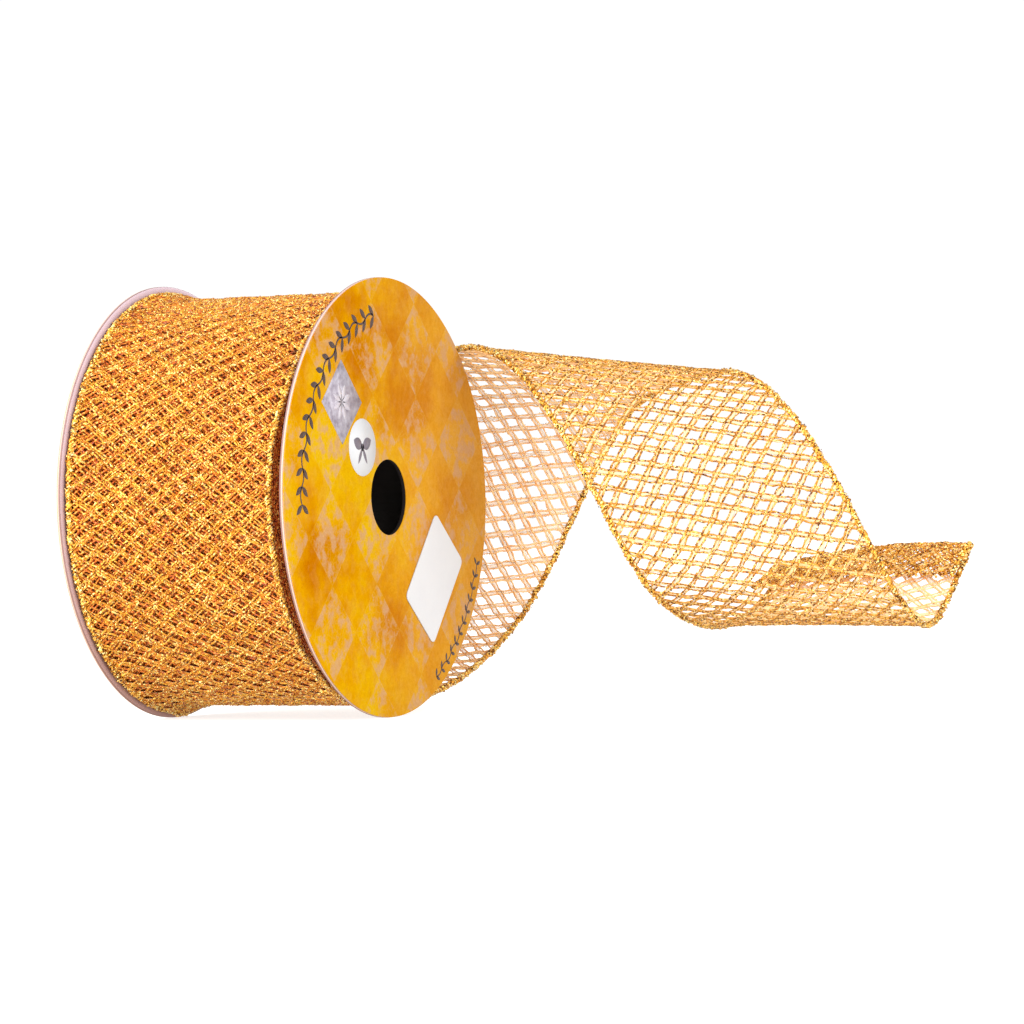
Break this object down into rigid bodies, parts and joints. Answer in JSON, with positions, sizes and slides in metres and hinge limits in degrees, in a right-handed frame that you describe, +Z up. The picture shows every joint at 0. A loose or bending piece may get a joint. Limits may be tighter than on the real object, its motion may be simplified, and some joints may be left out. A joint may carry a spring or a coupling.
{
  "type": "ribbon spool",
  "caption": "Wired glitter-mesh gift ribbon wound on a flanged cardboard spool, its free end curling away to one side.",
  "frame": {"origin": "middle of the underside of the whole part's box, on the surface that the two flanges stand on", "axes": "+X along the spool's axis towards the printed front flange, the side that the tail curls away to; +Y away from the side that the ribbon is seen from; +Z up"},
  "size_m": [0.207, 0.19, 0.125],
  "materials": {
    "glitter_net": "metallic glitter yarn",
    "edge_binding": "looped metallic glitter cord",
    "edge_wire": "drawn wire",
    "card": "uncoated pale mauve board",
    "printed_paper": "satin metallic gold print",
    "kraft_tube": "spiral-wound kraft board",
    "hot_glue": "hardened glue",
    "tape": "clear adhesive tape",
    "label_paper": "matt white"
  },
  "bodies": {
    "free_end": {"ribbon_outer_turn": "glitter_net", "ribbon_tail": "glitter_net", "back_edge_binding": "edge_binding", "front_edge_binding": "edge_binding", "back_edge_wire": "edge_wire", "front_edge_wire": "edge_wire"},
    "reel": {"front_flange_board": "card", "front_flange_print": "printed_paper", "back_flange_board": "card", "back_flange_print": "printed_paper", "core_tube": "kraft_tube", "front_glue_ring": "hot_glue", "back_glue_ring": "hot_glue", "start_tape": "tape", "wound_net": "glitter_net", "back_wound_selvage": "edge_binding", "front_wound_selvage": "edge_binding", "blank_label": "label_paper"}
  },
  "joints": [
    {"name": "reel_turn", "type": "hinge", "parent": "free_end", "child": "reel", "pos_m": [-0.06747, -0.03252, 0.0625], "axis": [1, 0, 0], "continuous": true}
  ]
}
